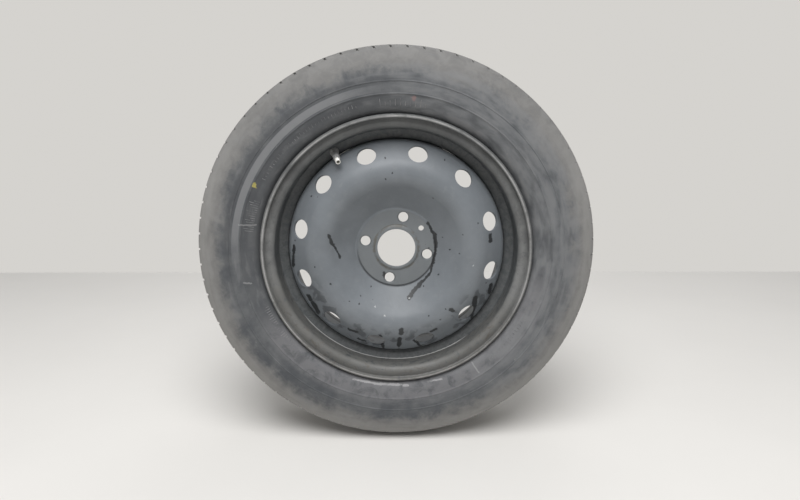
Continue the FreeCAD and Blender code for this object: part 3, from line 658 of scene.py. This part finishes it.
def wall_rows():
    """Half of the tyre's outside, from the bead's toe to the shoulder, with the moulded rings."""
    line = smooth_line(WALL_POINTS, WALL_STEP)
    clear = RIDGE_CLEAR * RIDGE_HALF_WIDTH
    rows = [row for row in line if all(abs(row[0] - ridge) > clear for ridge in RIDGE_RADII)]
    for ridge in RIDGE_RADII:
        for share, height in ((-1.7, 0.0), (-0.7, RIDGE_HEIGHT), (0.7, RIDGE_HEIGHT), (1.7, 0.0)):
            radius = ridge + share * RIDGE_HALF_WIDTH
            rows.append((radius, wall_width(line, radius) + height))
    return list(BEAD_POINTS) + sorted(rows)


def tread_rows():
    """The tread from one shoulder to the other."""
    edges = []
    for middle in GROOVES:
        floor = tread_radius(middle) - GROOVE_DEPTH
        for side in (-1, 1):
            top = middle + side * GROOVE_HALF_TOP
            pair = [(tread_radius(top), top), (floor, middle + side * GROOVE_HALF_FLOOR)]
            edges += pair if side < 0 else pair[::-1]
    shoulder = [SLOT_START, SLOT_START + SLOT_END_WALL, *SHOULDER_ROWS]
    ribs = [*RIB_MIDDLES, *shoulder, *(-y for y in shoulder)]
    rows = edges + [(tread_radius(y), y) for y in ribs]
    return sorted(rows, key=lambda row: row[1])


def tyre_rows():
    """The tyre's closed outline: outboard side, tread, inboard side and the inside."""
    half = wall_rows()
    outboard = [(radius, -y) for radius, y in half]
    liner = list(LINER_POINTS[:0:-1]) + [(radius, -y) for radius, y in LINER_POINTS]
    return outboard + tread_rows() + half[::-1] + liner


def slot_columns():
    """Angles at the cross slots' edges, each with the slot's side and whether it is on the slot's floor."""
    columns = []
    pitch = 2 * math.pi / SLOT_COUNT
    offsets = (-SLOT_HALF_TOP, -SLOT_HALF_FLOOR, SLOT_HALF_FLOOR, SLOT_HALF_TOP)
    for index in range(SLOT_COUNT):
        for side, start in ((-1, 0.0), (1, 0.5)):
            for offset in offsets:
                is_floor = abs(offset) == SLOT_HALF_FLOOR
                columns.append(((index + start) * pitch + offset / TYRE_RADIUS, side, is_floor))
    return columns


def make_tyre():
    """The whole tyre: beads, sidewalls with moulded rings, shoulders with cross slots, and grooved tread."""
    rows, columns = tyre_rows(), slot_columns()
    outside = len(rows) - 2 * len(LINER_POINTS) + 1
    mesh = bmesh.new()
    grid = []
    for angle, slot_side, is_floor in columns:
        column = []
        for index, (radius, y) in enumerate(rows):
            reach = abs(y)
            skewed = angle
            is_outside = index < outside and radius > WALL_POINTS[0][0]
            if is_outside:
                past_start = max(min(reach, SLOT_FADE[1]) - SLOT_START, 0)
                skewed += math.copysign(SLOT_SKEW * past_start, y) / TYRE_RADIUS
            on_slot_side = y * slot_side > SLOT_START and radius > SLOT_LOWEST
            if is_outside and is_floor and on_slot_side:
                fade = (SLOT_FADE[1] - reach) / (SLOT_FADE[1] - SLOT_FADE[0])
                radius -= SLOT_DEPTH * max(0.0, min(1.0, fade))
            column.append(mesh.verts.new((radius * math.cos(skewed), y, radius * math.sin(skewed))))
        grid.append(column)
    for index, column in enumerate(grid):
        following = grid[(index + 1) % len(grid)]
        for row in range(len(rows)):
            after = (row + 1) % len(rows)
            mesh.faces.new((column[row], column[after], following[after], following[row]))
    bmesh.ops.recalc_face_normals(mesh, faces=mesh.faces)
    return finished("tyre_rubber_body", mesh, 38)


def stem_radius(radius, along, share):
    """Radius on the stem's thread at a share of a turn, and elsewhere the radius that is given."""
    start, end = STEM_THREAD
    if not start < along < end:
        return radius
    turn = ((along - start) / THREAD_PITCH - share) % 1
    run_in = min(1.0, (along - start) / THREAD_PITCH, (end - along) / THREAD_PITCH)
    low, high = THREAD_RADII
    return low + (high - low) * run_in * (1 - abs(2 * turn - 1))


def make_stem():
    """The valve's brass stem, hollow, with a helical thread at its outer end."""
    start, end = STEM_THREAD
    count = round((end - start) / THREAD_PITCH * ROWS_PER_TURN)
    thread = [(THREAD_RADII[0], start + (end - start) * index / count) for index in range(count + 1)]
    rows = list(STEM_OUTSIDE) + thread + list(STEM_INSIDE)
    placed = on_valve()
    mesh = bmesh.new()
    grid = []
    for column in range(STEM_COLUMNS):
        share = column / STEM_COLUMNS
        angle = 2 * math.pi * share
        ring = []
        for radius, along in rows:
            reach = stem_radius(radius, along, share)
            corner = Vector((reach * math.cos(angle), along, reach * math.sin(angle)))
            ring.append(mesh.verts.new(placed @ corner))
        grid.append(ring)
    for index, ring in enumerate(grid):
        following = grid[(index + 1) % STEM_COLUMNS]
        for row in range(len(rows)):
            after = (row + 1) % len(rows)
            mesh.faces.new((ring[row], ring[after], following[after], following[row]))
    bmesh.ops.recalc_face_normals(mesh, faces=mesh.faces)
    return finished("valve_threaded_stem", mesh, 35)


def on_valve():
    """Turn and place of what is built along +Y, on the valve's axis."""
    turn = VALVE_AXIS.to_track_quat("Y", "Z").to_matrix().to_4x4()
    return Matrix.Translation(VALVE_CENTRE) @ turn


def make_spring():
    """Coil of wire round the valve's pin."""
    placed = on_valve()
    low, high = SPRING_SPAN[0] + SPRING_WIRE_RADIUS, SPRING_SPAN[1] - SPRING_WIRE_RADIUS
    count = SPRING_TURNS * SPRING_ROWS_PER_TURN
    mesh = bmesh.new()
    rings = []
    for row in range(count + 1):
        angle = 2 * math.pi * row / SPRING_ROWS_PER_TURN
        out = Vector((math.cos(angle), 0, math.sin(angle)))
        centre = out * SPRING_RADIUS + Vector((0, low + (high - low) * row / count, 0))
        ring = []
        for side in range(SPRING_SIDES):
            tilt = 2 * math.pi * side / SPRING_SIDES
            offset = (out * math.cos(tilt) + Vector((0, math.sin(tilt), 0))) * SPRING_WIRE_RADIUS
            ring.append(mesh.verts.new(placed @ (centre + offset)))
        rings.append(ring)
    for ring, following in zip(rings, rings[1:]):
        for side in range(SPRING_SIDES):
            after = (side + 1) % SPRING_SIDES
            mesh.faces.new((ring[side], ring[after], following[after], following[side]))
    mesh.faces.new(rings[0])
    mesh.faces.new(rings[-1])
    bmesh.ops.recalc_face_normals(mesh, faces=mesh.faces)
    return finished("valve_closing_spring", mesh, 50)


def make_bars():
    """Rows of short raised bars on the outboard sidewall, of uneven length."""
    line = smooth_line(WALL_POINTS, WALL_STEP)
    mesh = bmesh.new()
    for first, last, low, high, count in RAISED_BARS:
        for index in range(count):
            angle = math.radians(first + (last - first) * index / (count - 1))
            end = low + (high - low) * (BAR_SHORTEST + BAR_STEP * (index * 7 % 4))
            out = Vector((math.cos(angle), 0, math.sin(angle)))
            across = Vector((-math.sin(angle), 0, math.cos(angle))) * BAR_HALF_WIDTH
            rings = []
            for height, share in ((-BAR_SINK, 1.0), (BAR_HEIGHT, BAR_TOP_SHARE)):
                ring = []
                for radius, side in ((low, -1), (end, -1), (end, 1), (low, 1)):
                    reach = Vector((0, wall_width(line, radius) + height, 0))
                    ring.append(mesh.verts.new(out * radius + across * side * share - reach))
                rings.append(ring)
            mesh.faces.new(rings[0])
            mesh.faces.new(rings[1])
            for k in range(4):
                mesh.faces.new((rings[0][k], rings[0][(k + 1) % 4], rings[1][(k + 1) % 4], rings[1][k]))
    bmesh.ops.recalc_face_normals(mesh, faces=mesh.faces)
    return finished("tyre_raised_bars", mesh, 30)


def finished(name, mesh, sharp_angle):
    """Object of a mesh, smooth but for edges sharper than an angle in degrees."""
    data = bpy.data.meshes.new(name)
    mesh.to_mesh(data)
    mesh.free()
    data.shade_smooth()
    data.set_sharp_from_angle(angle=math.radians(sharp_angle))
    obj = bpy.data.objects.new(name, data)
    bpy.context.scene.collection.objects.link(obj)
    return obj


# Room

def plane(name, corners, material):
    mesh = bmesh.new()
    mesh.faces.new([mesh.verts.new(corner) for corner in corners])
    obj = finished(name, mesh, 30)
    obj.data.materials.append(material)


def stage_material(name, colour):
    material, tree, shader = new_material(name)
    place = add(tree, "TexCoord", {}).outputs["Object"]
    tint = tuple(channel * FLOOR_TINT for channel in colour)
    tree.links.new(blend(tree, noise(tree, place, 3.0), colour, tint), shader.inputs["Base Color"])
    shader.inputs["Roughness"].default_value = 0.8
    return material


def make_room():
    front = [(-FLOOR_REACH, -FLOOR_REACH, FLOOR_Z), (FLOOR_REACH, -FLOOR_REACH, FLOOR_Z)]
    back = [(FLOOR_REACH, FLOOR_END, FLOOR_Z), (-FLOOR_REACH, FLOOR_END, FLOOR_Z)]
    plane("floor", front + back, stage_material("floor", FLOOR_COLOUR))


def area_light(name, place, target, power):
    data = bpy.data.lights.new(name, "AREA")
    data.shape = "DISK"
    data.size = LAMP_SIZE
    data.energy = power
    light = bpy.data.objects.new(name, data)
    light.location = place
    light.rotation_euler = (Vector(target) - Vector(place)).to_track_quat("-Z", "Y").to_euler()
    bpy.context.scene.collection.objects.link(light)


def make_lights():
    world = bpy.data.worlds.new("studio")
    world.use_nodes = True
    tree = world.node_tree
    towards = add(tree, "SeparateXYZ", {0: add(tree, "TexCoord", {}).outputs["Generated"]}).outputs
    level = blend(tree, step(tree, towards[1], *FRONT_FADE), BACKDROP_COLOUR, FRONT_COLOUR)
    colour = blend(tree, step(tree, towards[2], *ZENITH_FADE), level, ZENITH_COLOUR)
    tree.links.new(colour, tree.nodes["Background"].inputs["Color"])
    bpy.context.scene.world = world
    area_light("key", KEY_PLACE, KEY_TARGET, KEY_POWER)
    area_light("back", BACK_PLACE, BACK_TARGET, BACK_POWER)
    bpy.context.scene.view_settings.view_transform = "Standard"


def dress(node, material):
    """Gives a carried-over node its finish."""
    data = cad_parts[node].data
    data.materials.clear()
    data.materials.append(material)


camera = make_camera()
MARK_GROUP = make_mark_group()
make_room()
make_lights()

tyre = make_tyre()
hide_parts("tyre")
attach(tyre, "wheel")
bpy.context.view_layer.update()
tyre.data.materials.append(tyre_rubber(camera, tyre))

bars = make_bars()
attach(bars, "wheel")
bar_rubber = plain_material("bar_rubber", (0.10, 0.102, 0.106), (0.21, 0.21, 0.212), (0.65, 0.85), scale=90.0)
bars.data.materials.append(bar_rubber)

dress("disc", disc_paint(camera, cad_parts["disc"]))
rim_finish = rim_paint()
dress("rim", rim_finish)
dress("disc_welds", rim_finish)

rubber = plain_material("valve_rubber", (0.21, 0.21, 0.21), (0.40, 0.40, 0.395), (0.6, 0.85), scale=260.0)
brass = plain_material("valve_brass", (0.72, 0.71, 0.67), (0.92, 0.91, 0.88), (0.3, 0.5), 0.35)
# the plug's brass is darkened as painted shade in the stem's hollow mouth
plug = plain_material("plug_brass_painted_shade", (0.06, 0.056, 0.046), (0.16, 0.15, 0.125), (0.35, 0.5), 0.6)
steel = plain_material("core_steel", (0.06, 0.06, 0.06), (0.14, 0.14, 0.14), (0.35, 0.5), 0.7)
gasket = plain_material("core_gasket", (0.34, 0.07, 0.06), (0.48, 0.11, 0.09), (0.5, 0.7))
for node in ("valve_body", "core_seal"):
    dress(node, rubber)
dress("core_plug", plug)
for node in ("core_barrel", "core_cup"):
    dress(node, brass)
stem = make_stem()
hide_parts("valve_stem")
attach(stem, "wheel")
stem.data.materials.append(brass)
dress("core_pin", steel)
dress("core_gasket", gasket)

spring = make_spring()
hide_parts("core_spring")
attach(spring, "wheel")
spring.data.materials.append(steel)
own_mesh(spring)
